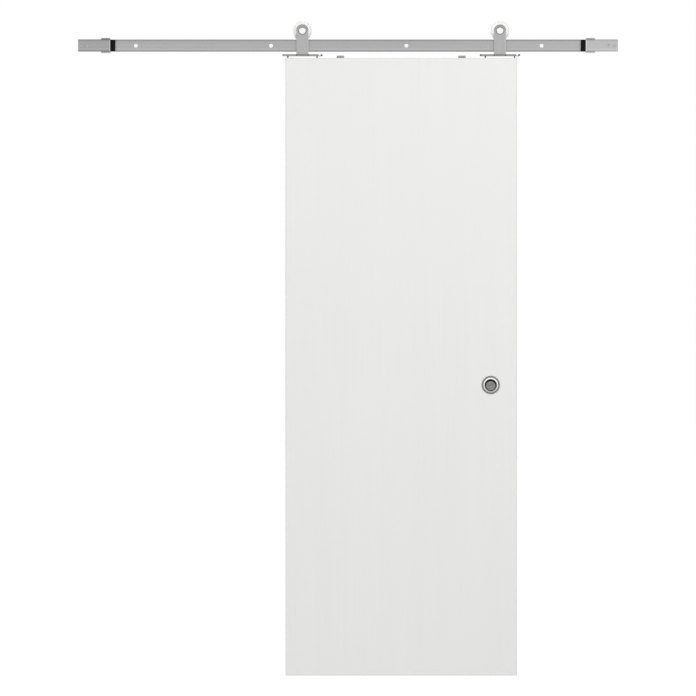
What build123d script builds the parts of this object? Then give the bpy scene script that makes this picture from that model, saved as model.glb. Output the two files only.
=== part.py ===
"""A sliding door set: a flat rail on spacers, a flush door leaf and two top-mount roller hangers.

Millimetres. X runs along the rail from its middle, +Y points at the wall, +Z up from the leaf's
bottom edge. "Depth" is counted from the wall's face towards the room, so it runs along -Y.
"""

import os

from build123d import *

# Door leaf
leaf_width = 762.0
leaf_height = 2032.0
leaf_thickness = 40.0
leaf_offset = 175.0  # leaf's middle from the rail's middle at rest
wall_gap = 10.0  # leaf's back face from the wall
skin = 3.0
edge_band = 2.0
frame_member = 130.0  # width of a stile, and height of a top or bottom rail

# Flat rail and its wall bolts
rail_length = 1776.0
rail_height = 40.0
rail_thickness = 6.0
rail_lift = 21.0  # rail's lower edge above the leaf's top edge
bolt_count = 4
first_bolt_inset = 190.0  # from the rail's left end
last_bolt_inset = 251.0  # from its right end
bolt_radius = 4.0
bolt_thread_radius = 3.75  # the threaded end, at half the thread's depth
bolt_head_radius = 7.0
bolt_head_height = 4.4
bolt_socket = 5.0  # across flats
bolt_reach = 50.0  # bolt's length inside the wall
bolt_point = 3.0  # chamfer on the bolt's tip
spacer_radius = 11.0

# End stops
stop_length = 106.0
claw_length = 30.0
claw_lip = 5.0
claw_set_back = 4.0
stop_screw_insets = (11.0, 31.0)
stop_screw_radius = 2.5
stop_screw_head_radius = 4.25
stop_screw_head_height = 5.0
stop_screw_socket = 4.0
buffer_length = 16.0
buffer_spigot_radius = 5.0
buffer_spigot_length = 9.0

# Roller hangers
hanger_inset = 56.0  # strap's middle from the leaf's side edge
strap_width = 40.0
strap_thickness = 6.0
foot_plate_length = 132.0
foot_plate_thickness = 6.0
foot_plate_depth = 36.0
foot_plate_lift = 6.5  # foot plate's underside above the leaf's top edge
cross_slot_width = 6.0
cross_slot_tab = 6.0  # plate left beyond the cross slot, at its right end
cross_slot_web = 1.5  # plate left under the cross slot
foot_screw_spread = 48.0  # foot screw from the strap's middle
foot_screw_radius = 2.5
foot_screw_head_radius = 5.0
foot_screw_head_height = 2.8
foot_screw_length = 54.0
foot_screw_socket = 3.0
insert_radius = 4.0
insert_length = 28.0

# Grooved wheel, and the 12 x 32 x 10 ball bearing in it
wheel_radius = 34.0
wheel_width = 20.0
flange_depth = 5.0
groove_clearance = 0.5
groove_draft = 1.2
hub_wall = 3.0  # hub's flat face round the bearing
dish_depth = 3.0
dish_margin = 1.0  # dish floor's end inside the groove's radius
bearing_bore_radius = 6.0
bearing_radius = 16.0
bearing_width = 10.0
inner_race_radius = 9.2
outer_race_radius = 12.8
ball_radius = 2.95
ball_count = 7
cage_width = 7.4
cage_gap = 0.4  # cage and shields from the inner race
shield_thickness = 0.5
shield_inset = 0.6
shoulder_radius = 14.0
ring_thickness = 1.2
ring_inner_radius = 13.6
ring_groove = 0.8
axle_head_radius = 11.0
axle_head_height = 6.6
axle_socket = 8.0
axle_sleeve_radius = 9.0
front_sleeve_length = 8.0
rear_sleeve_length = 5.0
washer_radius = 12.0
washer_thickness = 1.6
nut_across_flats = 19.0
nut_height = 10.0
axle_tail = 1.0

# Anti-lift discs
disc_spread = 200.0  # disc's middle from the leaf's middle
disc_radius = 12.5
disc_height = 8.0
disc_flutes = 24
flute_radius = 0.7
disc_screw_radius = 2.5
disc_screw_head_radius = 5.0
disc_screw_head_height = 3.0
disc_screw_length = 40.0
disc_screw_socket = 3.0

# Flush pulls
pull_inset = 86.5  # pull's middle from the leaf's right edge
pull_height = 956.0
pull_radius = 30.0
pull_proud = 1.5
pull_bevel_radius = 25.5
pull_mouth_radius = 20.0
pull_floor_radius = 17.5
pull_barrel_radius = 25.0
pull_recess = 10.0
pull_barrel_depth = 12.0

# Clearances
screw_gap = 0.05  # a thread in its tapped hole
slip_gap = 0.3  # a bolt in a plain hole
running_gap = 0.05  # a ball in its groove, and a wheel on the rail
bore_gap = 0.02  # a bearing on its axle, and a cup in its bore
bore_end_gap = 0.5
soft_edge = 0.6
button_round = 0.6  # share of a button head's height that is rounded
rim_share = 0.7  # share of the rim outside the socket that may be rounded

# Depths from the wall's face
leaf_back = wall_gap
leaf_front = leaf_back + leaf_thickness
middle = (leaf_back + leaf_front) / 2
rail_back = middle - rail_thickness / 2
rail_front = middle + rail_thickness / 2
bearing_back = middle - bearing_width / 2
bearing_front = middle + bearing_width / 2
strap_back = bearing_front + front_sleeve_length
strap_front = strap_back + strap_thickness
washer_front = bearing_back - rear_sleeve_length
nut_front = washer_front - washer_thickness
axle_end = nut_front - nut_height - axle_tail
front_reach = strap_front + axle_head_height
wall_y = (front_reach - bolt_reach) / 2

# Heights
leaf_top = leaf_height
rail_bottom = leaf_top + rail_lift
rail_top = rail_bottom + rail_height
rail_middle = (rail_bottom + rail_top) / 2
groove_radius = wheel_radius - flange_depth
axle_height = rail_top + groove_radius + running_gap
plate_bottom = leaf_top + foot_plate_lift
plate_top = plate_bottom + foot_plate_thickness

# Places along the rail
rail_left = -rail_length / 2
bolt_pitch = (rail_length - first_bolt_inset - last_bolt_inset) / (bolt_count - 1)
bolt_places = [rail_left + first_bolt_inset + n * bolt_pitch for n in range(bolt_count)]
leaf_left = leaf_offset - leaf_width / 2
leaf_right = leaf_offset + leaf_width / 2
hanger_places = {"left": leaf_left + hanger_inset, "right": leaf_right - hanger_inset}
pull_x = leaf_right - pull_inset
frame_thickness = leaf_thickness - 2 * skin
ball_pitch_radius = (inner_race_radius + outer_race_radius) / 2
race_half = bearing_width / 2


def save(piece, label):
    """Name a finished piece and write its STEP file."""
    piece.part.label = label
    export_step(piece.part, f"parts/{label}.step")


def facing(depth):
    """The plane that faces the room, at a depth from the wall's face."""
    return Plane.XZ.offset(depth - wall_y)


def level(height):
    """The level plane at a height, with its origin over the middle of the leaf's thickness."""
    return Plane((0, wall_y - middle, height))


def block(x_range, depth_range, z_range):
    """A rectangular block in the open part, from its limits on each side."""
    x_middle = sum(x_range) / 2
    z_middle = sum(z_range) / 2
    with BuildSketch(facing(depth_range[0])) as outline:
        with Locations((x_middle, z_middle)):
            Rectangle(x_range[1] - x_range[0], z_range[1] - z_range[0])
    extrude(outline.sketch, amount=depth_range[1] - depth_range[0])


def discs(plane, spots, radius, length, mode=Mode.ADD):
    """Round bars, or holes, that start on a plane."""
    with BuildSketch(plane) as outline:
        with Locations(*spots):
            Circle(radius)
    extrude(outline.sketch, amount=length, mode=mode)


def button_heads(plane, spots, radius, height, socket):
    """Button heads that stand on a plane, each with a hexagon socket."""
    discs(plane, spots, radius, height)
    rims = edges().filter_by(GeomType.CIRCLE).filter_by(lambda e: abs(e.radius - radius) < 1e-4)
    tops = rims.group_by(Axis(plane.origin, plane.z_dir))[-1]
    fillet(tops, min(height * button_round, (radius - socket / 2) * rim_share))
    with BuildSketch(plane.offset(height)) as sockets:
        with Locations(*spots):
            RegularPolygon(socket / 2, 6, major_radius=False)
    extrude(sockets.sketch, amount=-height * button_round, mode=Mode.SUBTRACT)


def countersunk_screws(top, spots, radius, head_radius, head_height, length, socket):
    """Countersunk screws that hang down from a level plane, heads flush with it."""
    for spot in spots:
        place = top * Location((spot[0], spot[1], 0))
        with BuildSketch(Plane(place.position, x_dir=(1, 0, 0), z_dir=(0, -1, 0))) as profile:
            with BuildLine():
                Polyline(
                    (0, 0),
                    (head_radius, 0),
                    (radius, -head_height),
                    (radius, -length + radius / 2),
                    (radius / 2, -length),
                    (0, -length),
                    close=True,
                )
            make_face()
        revolve(profile.sketch, axis=Axis(place.position, (0, 0, 1)))
    with BuildSketch(top) as sockets:
        with Locations(*spots):
            RegularPolygon(socket / 2, 6, major_radius=False)
    extrude(sockets.sketch, amount=-head_height * 0.7, mode=Mode.SUBTRACT)


def countersunk_holes(top, spots, radius, head_radius, head_height, through):
    """Holes for countersunk screws, down from a level plane; the heads bear on their cones."""
    discs(top, spots, radius + slip_gap, -through, Mode.SUBTRACT)
    for spot in spots:
        place = top * Location((spot[0], spot[1], 0))
        with BuildSketch(Plane(place.position, x_dir=(1, 0, 0), z_dir=(0, -1, 0))) as profile:
            with BuildLine():
                Polyline(
                    (0, 0),
                    (head_radius, 0),
                    (radius, -head_height),
                    (0, -head_height),
                    close=True,
                )
            make_face()
        revolve(profile.sketch, axis=Axis(place.position, (0, 0, 1)), mode=Mode.SUBTRACT)


def turned(x, depth, height, points, mode=Mode.ADD):
    """A ring or disc turned about a line along Y, from (radius, distance towards the wall) points."""
    centre = (x, wall_y - depth, height)
    with BuildSketch(Plane(centre, x_dir=(1, 0, 0), z_dir=(0, 0, 1))) as profile:
        with BuildLine():
            Polyline(*points, close=True)
        make_face()
    revolve(profile.sketch, axis=Axis(centre, (0, 1, 0)), mode=mode)


def ring_points(inner, outer, front, back):
    """A plain ring's section; front and back are distances towards the wall."""
    return [(inner, front), (outer, front), (outer, back), (inner, back)]


os.makedirs("parts", exist_ok=True)

# ---------------------------------------------------------------- rail, spacers and wall bolts
bolt_spots = [(x, rail_middle) for x in bolt_places]
stop_screw_spots = {
    "left": [(rail_left + inset, rail_middle) for inset in stop_screw_insets],
    "right": [(-rail_left - inset, rail_middle) for inset in stop_screw_insets],
}

with BuildPart() as rail_bar:
    block((rail_left, -rail_left), (rail_back, rail_front), (rail_bottom, rail_top))
    chamfer(edges().filter_by(Axis.X), soft_edge)
    discs(facing(rail_back), bolt_spots, bolt_radius + slip_gap, rail_thickness, Mode.SUBTRACT)
    tapped = stop_screw_spots["left"] + stop_screw_spots["right"]
    discs(facing(rail_back), tapped, stop_screw_radius + screw_gap, rail_thickness, Mode.SUBTRACT)
save(rail_bar, "rail_bar")

with BuildPart() as rail_spacers:
    discs(facing(0), bolt_spots, spacer_radius, rail_back)
    chamfer(edges(), soft_edge)
    discs(facing(0), bolt_spots, bolt_radius + slip_gap, rail_back, Mode.SUBTRACT)
save(rail_spacers, "rail_spacers")

with BuildPart() as wall_bolts:
    discs(facing(-bolt_reach), bolt_spots, bolt_thread_radius, bolt_reach)
    points = edges().filter_by(GeomType.CIRCLE).group_by(Axis.Y)[-1]
    chamfer(points, bolt_point)
    discs(facing(0), bolt_spots, bolt_radius, rail_front)
    button_heads(facing(rail_front), bolt_spots, bolt_head_radius, bolt_head_height, bolt_socket)
save(wall_bolts, "wall_bolts")

# ---------------------------------------------------------------- end stops
for side, outward in (("left", -1), ("right", 1)):
    rail_end = outward * rail_length / 2
    claw_face = rail_end - outward * stop_length
    claw_back = claw_face + outward * claw_length
    arm = sorted((rail_end, claw_face))
    claw = sorted((claw_face, claw_back))
    buffer_face = claw_face - outward * buffer_length
    pad = sorted((claw_face, buffer_face))
    inward_plane = Plane(
        (claw_face, wall_y - (rail_front + strap_front) / 2, rail_middle),
        x_dir=(0, 1, 0),
        z_dir=(outward, 0, 0),
    )

    with BuildPart() as stop_body:
        block(arm, (rail_front, strap_front), (rail_bottom, rail_top))
        lips = (rail_back - claw_lip, strap_front - claw_set_back)
        block(claw, lips, (rail_top, rail_top + claw_lip))
        block(claw, lips, (rail_bottom - claw_lip, rail_bottom))
        hooks = (rail_back - claw_lip, rail_back)
        block(claw, hooks, (rail_top - claw_lip, rail_top))
        block(claw, hooks, (rail_bottom, rail_bottom + claw_lip))
        fronts = faces().sort_by(Axis.Y)[0]
        chamfer(fronts.edges(), soft_edge)
        spots = stop_screw_spots[side]
        depth = strap_front - rail_front
        bore = stop_screw_radius + slip_gap
        discs(facing(rail_front), spots, bore, depth, Mode.SUBTRACT)
        seat = strap_front - stop_screw_head_height
        head_bore = stop_screw_head_radius + slip_gap
        discs(facing(seat), spots, head_bore, stop_screw_head_height, Mode.SUBTRACT)
        spigot_hole = buffer_spigot_length + bore_end_gap
        discs(inward_plane, [(0, 0)], buffer_spigot_radius + bore_gap, spigot_hole, Mode.SUBTRACT)
    save(stop_body, f"{side}_stop_body")

    with BuildPart() as stop_screws:
        discs(facing(rail_back), spots, stop_screw_radius, seat - rail_back)
        button_heads(facing(seat), spots, stop_screw_head_radius, stop_screw_head_height, stop_screw_socket)
    save(stop_screws, f"{side}_stop_screws")

    with BuildPart() as stop_buffer:
        block(pad, (rail_front + slip_gap, strap_front), (rail_bottom + 1, rail_top - 1))
        fillet(edges().filter_by(Axis.X), 2 * soft_edge)
        discs(inward_plane, [(0, 0)], buffer_spigot_radius, buffer_spigot_length)
    save(stop_buffer, f"{side}_stop_buffer")

# ---------------------------------------------------------------- roller hangers
for side, x in hanger_places.items():
    foot_spots = [(x - foot_screw_spread, 0), (x + foot_screw_spread, 0)]
    head_plane = facing(strap_front)
    axle_spot = [(x, axle_height)]

    with BuildPart() as hanger_strap:
        with BuildSketch(facing(strap_back)):
            with Locations((x, (plate_top + axle_height) / 2)):
                Rectangle(strap_width, axle_height - plate_top)
            with Locations((x, axle_height)):
                Circle(strap_width / 2)
        extrude(amount=strap_thickness)
        fillet(faces().sort_by(Axis.Y)[0].edges().sort_by(Axis.Z)[1:], soft_edge)
        axle_hole = bearing_bore_radius + slip_gap
        discs(facing(strap_back), axle_spot, axle_hole, strap_thickness, Mode.SUBTRACT)
    save(hanger_strap, f"{side}_hanger_strap")

    with BuildPart() as foot_plate:
        plate = (strap_front - foot_plate_depth, strap_front)
        half = foot_plate_length / 2
        block((x - half, x + half), plate, (plate_bottom, plate_top))
        fillet(edges().filter_by(Axis.Z), 2 * soft_edge)
        slot_end = x + half - cross_slot_tab
        with BuildSketch(facing(strap_front)) as cross_slot:
            with Locations((slot_end, plate_top)):
                Rectangle(
                    cross_slot_width,
                    foot_plate_thickness - cross_slot_web,
                    align=(Align.MAX, Align.MAX),
                )
        extrude(cross_slot.sketch, amount=-foot_plate_depth, mode=Mode.SUBTRACT)
        countersunk_holes(
            level(plate_top),
            foot_spots,
            foot_screw_radius,
            foot_screw_head_radius,
            foot_screw_head_height,
            foot_plate_thickness,
        )
    save(foot_plate, f"{side}_foot_plate")

    with BuildPart() as foot_screws:
        countersunk_screws(
            level(plate_top),
            foot_spots,
            foot_screw_radius,
            foot_screw_head_radius,
            foot_screw_head_height,
            foot_screw_length,
            foot_screw_socket,
        )
    save(foot_screws, f"{side}_foot_screws")

    with BuildPart() as threaded_inserts:
        discs(level(leaf_top), foot_spots, insert_radius, -insert_length)
        insert_bore = foot_screw_radius + screw_gap
        discs(level(leaf_top), foot_spots, insert_bore, -insert_length, Mode.SUBTRACT)
    save(threaded_inserts, f"{side}_threaded_inserts")

    with BuildPart() as axle_bolt:
        shank = strap_front - axle_end
        discs(facing(axle_end), axle_spot, bearing_bore_radius - bore_gap, shank)
        chamfer(faces().sort_by(Axis.Y)[-1].edges(), soft_edge)
        button_heads(head_plane, axle_spot, axle_head_radius, axle_head_height, axle_socket)
    save(axle_bolt, f"{side}_axle_bolt")

    with BuildPart() as axle_sleeves:
        for start, length in (
            (bearing_front, front_sleeve_length),
            (washer_front, rear_sleeve_length),
        ):
            discs(facing(start), axle_spot, axle_sleeve_radius, length)
            discs(facing(start), axle_spot, bearing_bore_radius + bore_gap, length, Mode.SUBTRACT)
    save(axle_sleeves, f"{side}_axle_sleeves")

    with BuildPart() as axle_washer:
        discs(facing(nut_front), axle_spot, washer_radius, washer_thickness)
        hole = bearing_bore_radius + slip_gap
        discs(facing(nut_front), axle_spot, hole, washer_thickness, Mode.SUBTRACT)
    save(axle_washer, f"{side}_axle_washer")

    with BuildPart() as axle_nut:
        with BuildSketch(facing(nut_front - nut_height)):
            with Locations(*axle_spot):
                RegularPolygon(nut_across_flats / 2, 6, major_radius=False)
                Circle(bearing_bore_radius + screw_gap, mode=Mode.SUBTRACT)
        extrude(amount=nut_height)
    save(axle_nut, f"{side}_axle_nut")

    # The bearing: a ball groove in each race, balls in a cage, and a shield on each face
    ball_groove = ball_radius + running_gap
    bearing_centre = Plane(
        (x, wall_y - middle, axle_height), x_dir=(1, 0, 0), z_dir=(0, -1, 0)
    )

    with BuildPart() as inner_race:
        section = ring_points(bearing_bore_radius, inner_race_radius, -race_half, race_half)
        turned(x, middle, axle_height, section)
        with Locations(bearing_centre):
            Torus(ball_pitch_radius, ball_groove, mode=Mode.SUBTRACT)
    save(inner_race, f"{side}_bearing_inner_race")

    with BuildPart() as outer_race:
        section = ring_points(outer_race_radius, bearing_radius, -race_half, race_half)
        turned(x, middle, axle_height, section)
        with Locations(bearing_centre):
            Torus(ball_pitch_radius, ball_groove, mode=Mode.SUBTRACT)
    save(outer_race, f"{side}_bearing_outer_race")

    with BuildPart(bearing_centre) as bearing_balls:
        with PolarLocations(ball_pitch_radius, ball_count):
            Sphere(ball_radius)
    save(bearing_balls, f"{side}_bearing_balls")

    with BuildPart(bearing_centre) as ball_cage:
        Cylinder(outer_race_radius - cage_gap, cage_width)
        Cylinder(inner_race_radius + cage_gap, cage_width, mode=Mode.SUBTRACT)
        with PolarLocations(ball_pitch_radius, ball_count):
            Cylinder(ball_groove, cage_width, rotation=(0, 90, 0), mode=Mode.SUBTRACT)
    save(ball_cage, f"{side}_bearing_cage")

    with BuildPart() as bearing_shields:
        for front in (-race_half + shield_inset, race_half - shield_inset - shield_thickness):
            section = ring_points(
                inner_race_radius + cage_gap, outer_race_radius, front, front + shield_thickness
            )
            turned(x, middle, axle_height, section)
    save(bearing_shields, f"{side}_bearing_shields")

    with BuildPart() as retaining_ring:
        groove_r = bearing_radius + ring_groove
        section = ring_points(
            ring_inner_radius, groove_r - running_gap, -race_half - ring_thickness, -race_half
        )
        turned(x, middle, axle_height, section)
    save(retaining_ring, f"{side}_retaining_ring")

    with BuildPart() as wheel:
        half = wheel_width / 2
        groove_half = rail_thickness / 2 + groove_clearance
        bearing_bore = bearing_radius + bore_gap
        hub = bearing_radius + hub_wall
        dish_end = groove_radius - dish_margin
        dish = half - dish_depth
        turned(
            x,
            middle,
            axle_height,
            [
                (bearing_bore, -half),
                (hub, -half),
                (hub + dish_depth, -dish),
                (dish_end, -dish),
                (dish_end + dish_depth, -half),
                (wheel_radius - soft_edge, -half),
                (wheel_radius, -half + soft_edge),
                (wheel_radius, -groove_half - groove_draft),
                (groove_radius, -groove_half),
                (groove_radius, groove_half),
                (wheel_radius, groove_half + groove_draft),
                (wheel_radius, half - soft_edge),
                (wheel_radius - soft_edge, half),
                (dish_end + dish_depth, half),
                (dish_end, dish),
                (hub + dish_depth, dish),
                (hub, half),
                (shoulder_radius, half),
                (shoulder_radius, race_half),
                (bearing_bore, race_half),
            ],
        )
        slot = ring_points(
            bearing_bore - ring_groove, groove_r, -race_half - ring_thickness - running_gap,
            -race_half,
        )
        turned(x, middle, axle_height, slot, Mode.SUBTRACT)
    save(wheel, f"{side}_wheel")

# ---------------------------------------------------------------- door leaf
inner_left = leaf_left + edge_band
inner_right = leaf_right - edge_band
frame_depths = (leaf_back + skin, leaf_front - skin)
rail_foot = leaf_top - frame_member
pull_spot = [(pull_x, pull_height)]
pull_hole = pull_barrel_radius + bore_gap
insert_spots = [
    (x + shift, 0)
    for x in hanger_places.values()
    for shift in (-foot_screw_spread, foot_screw_spread)
]
disc_places = {"left": leaf_offset - disc_spread, "right": leaf_offset + disc_spread}
disc_spots = [(x, 0) for x in disc_places.values()]

for name, start in (("front", leaf_front - skin), ("rear", leaf_back)):
    with BuildPart() as leaf_skin:
        block((inner_left, inner_right), (start, start + skin), (0, leaf_top))
        discs(facing(start), pull_spot, pull_hole, skin, Mode.SUBTRACT)
    save(leaf_skin, f"leaf_{name}_skin")

for name, span in (
    ("left", (leaf_left, inner_left)),
    ("right", (inner_right, leaf_right)),
):
    with BuildPart() as band:
        block(span, (leaf_back, leaf_front), (0, leaf_top))
    save(band, f"leaf_{name}_edge_band")

with BuildPart() as top_rail:
    block((inner_left, inner_right), frame_depths, (rail_foot, leaf_top))
    discs(level(leaf_top), insert_spots, insert_radius + bore_gap, -insert_length, Mode.SUBTRACT)
    tip = foot_screw_length - foot_plate_thickness - foot_plate_lift + bore_end_gap
    discs(level(leaf_top), insert_spots, foot_screw_radius + slip_gap, -tip, Mode.SUBTRACT)
    pilot = disc_screw_length - disc_height + bore_end_gap
    discs(level(leaf_top), disc_spots, disc_screw_radius + screw_gap, -pilot, Mode.SUBTRACT)
save(top_rail, "leaf_top_rail")

with BuildPart() as bottom_rail:
    block((inner_left, inner_right), frame_depths, (0, frame_member))
save(bottom_rail, "leaf_bottom_rail")

with BuildPart() as left_stile:
    block((inner_left, inner_left + frame_member), frame_depths, (frame_member, rail_foot))
save(left_stile, "leaf_left_stile")

with BuildPart() as right_stile:
    block((inner_right - frame_member, inner_right), frame_depths, (frame_member, rail_foot))
    blind = pull_barrel_depth - skin + bore_end_gap
    discs(facing(leaf_front - skin), pull_spot, pull_hole, -blind, Mode.SUBTRACT)
    discs(facing(leaf_back + skin), pull_spot, pull_hole, blind, Mode.SUBTRACT)
save(right_stile, "leaf_right_stile")

with BuildPart() as leaf_core:
    span = (inner_left + frame_member, inner_right - frame_member)
    block(span, frame_depths, (frame_member, rail_foot))
save(leaf_core, "leaf_core")

# ---------------------------------------------------------------- flush pulls
for name, depth, inward in (("front", leaf_front, 1), ("rear", leaf_back, -1)):
    with BuildPart() as pull_cup:
        section = [
            (0, pull_barrel_depth),
            (pull_barrel_radius, pull_barrel_depth),
            (pull_barrel_radius, 0),
            (pull_radius, 0),
            (pull_radius, -pull_proud / 2),
            (pull_radius - pull_proud / 2, -pull_proud),
            (pull_bevel_radius, -pull_proud),
            (pull_mouth_radius, 1.0),
            (pull_mouth_radius - 0.6, pull_recess * 0.7),
            (pull_floor_radius, pull_recess),
            (0, pull_recess),
        ]
        turned(pull_x, depth, pull_height, [(r, inward * y) for r, y in section])
    save(pull_cup, f"{name}_pull_cup")

# ---------------------------------------------------------------- anti-lift discs
for side, x in disc_places.items():
    with BuildPart() as disc:
        discs(level(leaf_top), [(x, 0)], disc_radius, disc_height)
        with BuildSketch(level(leaf_top)):
            with Locations((x, 0)):
                with PolarLocations(disc_radius, disc_flutes):
                    Circle(flute_radius)
        extrude(amount=disc_height, mode=Mode.SUBTRACT)
        countersunk_holes(
            level(leaf_top + disc_height),
            [(x, 0)],
            disc_screw_radius,
            disc_screw_head_radius,
            disc_screw_head_height,
            disc_height,
        )
    save(disc, f"{side}_anti_lift_disc")

with BuildPart() as disc_screws:
    countersunk_screws(
        level(leaf_top + disc_height),
        disc_spots,
        disc_screw_radius,
        disc_screw_head_radius,
        disc_screw_head_height,
        disc_screw_length,
        disc_screw_socket,
    )
save(disc_screws, "anti_lift_screws")
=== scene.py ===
"""Looks of a sliding door set: flat rail, roller hangers, end stops, white leaf and flush pulls."""

import math

import bmesh
import bpy
from bpy.props import FloatProperty, FloatVectorProperty, IntProperty, PointerProperty
from bpy.types import Operator, Panel, PropertyGroup
from mathutils import Matrix, Vector


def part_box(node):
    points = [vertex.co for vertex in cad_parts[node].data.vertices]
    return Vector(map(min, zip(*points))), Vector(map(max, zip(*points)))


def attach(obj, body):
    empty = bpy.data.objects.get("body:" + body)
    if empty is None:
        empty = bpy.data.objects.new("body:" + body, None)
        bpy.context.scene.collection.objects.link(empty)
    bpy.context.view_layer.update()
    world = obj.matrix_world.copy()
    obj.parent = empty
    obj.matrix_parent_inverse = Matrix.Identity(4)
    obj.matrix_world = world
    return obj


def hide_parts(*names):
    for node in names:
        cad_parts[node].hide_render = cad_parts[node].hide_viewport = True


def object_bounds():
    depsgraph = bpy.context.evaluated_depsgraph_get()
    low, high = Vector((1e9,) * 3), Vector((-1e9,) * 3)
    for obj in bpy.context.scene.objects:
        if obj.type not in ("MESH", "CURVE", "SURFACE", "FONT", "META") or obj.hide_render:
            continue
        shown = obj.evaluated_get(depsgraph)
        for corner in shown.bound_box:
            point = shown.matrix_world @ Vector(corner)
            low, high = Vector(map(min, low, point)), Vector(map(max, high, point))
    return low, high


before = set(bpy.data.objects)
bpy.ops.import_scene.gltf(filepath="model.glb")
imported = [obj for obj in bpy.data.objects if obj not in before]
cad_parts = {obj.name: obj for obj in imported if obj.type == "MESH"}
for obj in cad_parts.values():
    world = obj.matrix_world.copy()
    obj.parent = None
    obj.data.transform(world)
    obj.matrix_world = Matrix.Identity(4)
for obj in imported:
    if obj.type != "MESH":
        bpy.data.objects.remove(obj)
start_lo, start_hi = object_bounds()

bl_info = {
    "name": "Sliding door set",
    "version": (1, 0, 0),
    "blender": (4, 5, 0),
    "location": "View3D > Sidebar > Sliding door",
    "description": "Builds the finished pieces of a sliding door set round its frame",
    "category": "Object",
}

MM = 0.001
SIDES = ("left", "right")
LAMPS = (  # name, place, size, power, and the aim's height over the middle
    ("key", (0.9, -3.0, 2.7), 2.0, 33.0, 0.75),
    ("back", (-0.8, 3.2, 2.4), 2.4, 16.0, 0.0),
    ("fill", (-2.4, -3.0, 2.4), 2.4, 6.0, 0.3),
)
FULL_TURN = math.tau
HALF_FLAT = math.cos(math.radians(30))  # half a hexagon's width across flats, against its corner
SLIP = 0.3 * MM  # a bolt in a plain hole
CLAW_LENGTH = 30 * MM
CLAW_SET_BACK = 4 * MM  # the claw's lips behind the arm's face
PULL_BORE = 25 * MM  # radius of the pull's hole in a skin
PULL_MOUTH = 20 * MM  # radius of the recess in the pull
PULL_DEPTH = 13.5 * MM
FACING = Matrix.Rotation(math.radians(90), 4, "X")  # a flat outline's face turned to the room


# ------------------------------------------------------------------ sizes and finishes


class SetSizes(PropertyGroup):
    """Small sizes that the frame doesn't hold."""

    edge_round: FloatProperty(
        name="Edge round",
        description="Radius on the edges of plates and blocks",
        default=0.8 * MM,
        unit="LENGTH",
    )
    leaf_arris: FloatProperty(
        name="Leaf arris",
        description="Radius on the edges of the leaf's faces",
        default=1.2 * MM,
        unit="LENGTH",
    )
    thread_pitch: FloatProperty(
        name="Thread pitch",
        description="Pitch of the wall bolts' thread",
        default=3.0 * MM,
        unit="LENGTH",
    )
    axle_pitch: FloatProperty(
        name="Axle thread pitch",
        description="Pitch of the axle bolts' thread",
        default=1.75 * MM,
        unit="LENGTH",
    )
    turn_steps: IntProperty(
        name="Steps in a turn",
        description="Faces round a turned piece",
        default=96,
        min=24,
    )


class SetFinishes(PropertyGroup):
    """Colours of the pieces, as linear values."""

    steel: FloatVectorProperty(
        name="Brushed steel",
        description="Rail, straps, stops and foot plates",
        subtype="COLOR",
        default=(0.42, 0.42, 0.42),
    )
    polished: FloatVectorProperty(
        name="Polished steel",
        description="Heads of the wall bolts and axle bolts",
        subtype="COLOR",
        default=(0.93, 0.93, 0.93),
    )
    plated: FloatVectorProperty(
        name="Plated steel",
        description="Screws, nuts, washers and sleeves",
        subtype="COLOR",
        default=(0.42, 0.43, 0.44),
    )
    nylon: FloatVectorProperty(
        name="Wheel nylon",
        description="The grooved wheels",
        subtype="COLOR",
        default=(0.86, 0.86, 0.85),
    )
    rubber: FloatVectorProperty(
        name="Rubber",
        description="Buffers on the end stops",
        subtype="COLOR",
        default=(0.006, 0.006, 0.006),
    )
    paint: FloatVectorProperty(
        name="Leaf paint",
        description="White satin paint on the leaf",
        subtype="COLOR",
        default=(0.667, 0.667, 0.659),
    )
    pull: FloatVectorProperty(
        name="Flush pull",
        description="Brushed metal of the round pulls",
        subtype="COLOR",
        default=(0.22, 0.22, 0.22),
    )
    brass: FloatVectorProperty(
        name="Brass",
        description="Threaded inserts in the leaf",
        subtype="COLOR",
        default=(0.62, 0.42, 0.16),
    )
    softwood: FloatVectorProperty(
        name="Softwood",
        description="Stiles and rails inside the leaf",
        subtype="COLOR",
        default=(0.62, 0.42, 0.22),
    )


class SetStage(PropertyGroup):
    """The camera and the floor."""

    distance: FloatProperty(
        name="Camera distance",
        description="From the lens to the leaf's face",
        default=30.0,
        unit="LENGTH",
    )
    framed_height: FloatProperty(
        name="Framed height",
        description="Height of the view where the leaf stands",
        default=2.289,
        unit="LENGTH",
    )
    floor_drop: FloatProperty(
        name="Floor gap",
        description="The floor below the leaf's bottom edge",
        default=8 * MM,
        unit="LENGTH",
    )


def sizes():
    """The open scene's sizes."""
    return bpy.context.scene.door_sizes


def finishes():
    """The open scene's finishes."""
    return bpy.context.scene.door_finishes


# ------------------------------------------------------------------ shader helpers


class Value:
    """A number's socket in a node tree; arithmetic on it adds Math nodes."""

    def __init__(self, shader, socket):
        self.shader = shader
        self.socket = socket

    def _math(self, operation, first, second):
        """Adds one Math node."""
        made = self.shader.node("Math", {"operation": operation}, {0: first, 1: second})
        return Value(self.shader, made.outputs[0])

    def __add__(self, other):
        return self._math("ADD", self, other)

    __radd__ = __add__

    def __sub__(self, other):
        return self._math("SUBTRACT", self, other)

    def __rsub__(self, other):
        return self._math("SUBTRACT", other, self)

    def __mul__(self, other):
        return self._math("MULTIPLY", self, other)

    __rmul__ = __mul__

    def __pow__(self, other):
        return self._math("POWER", self, other)

    def __abs__(self):
        return self._math("ABSOLUTE", self, 0.0)


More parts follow.
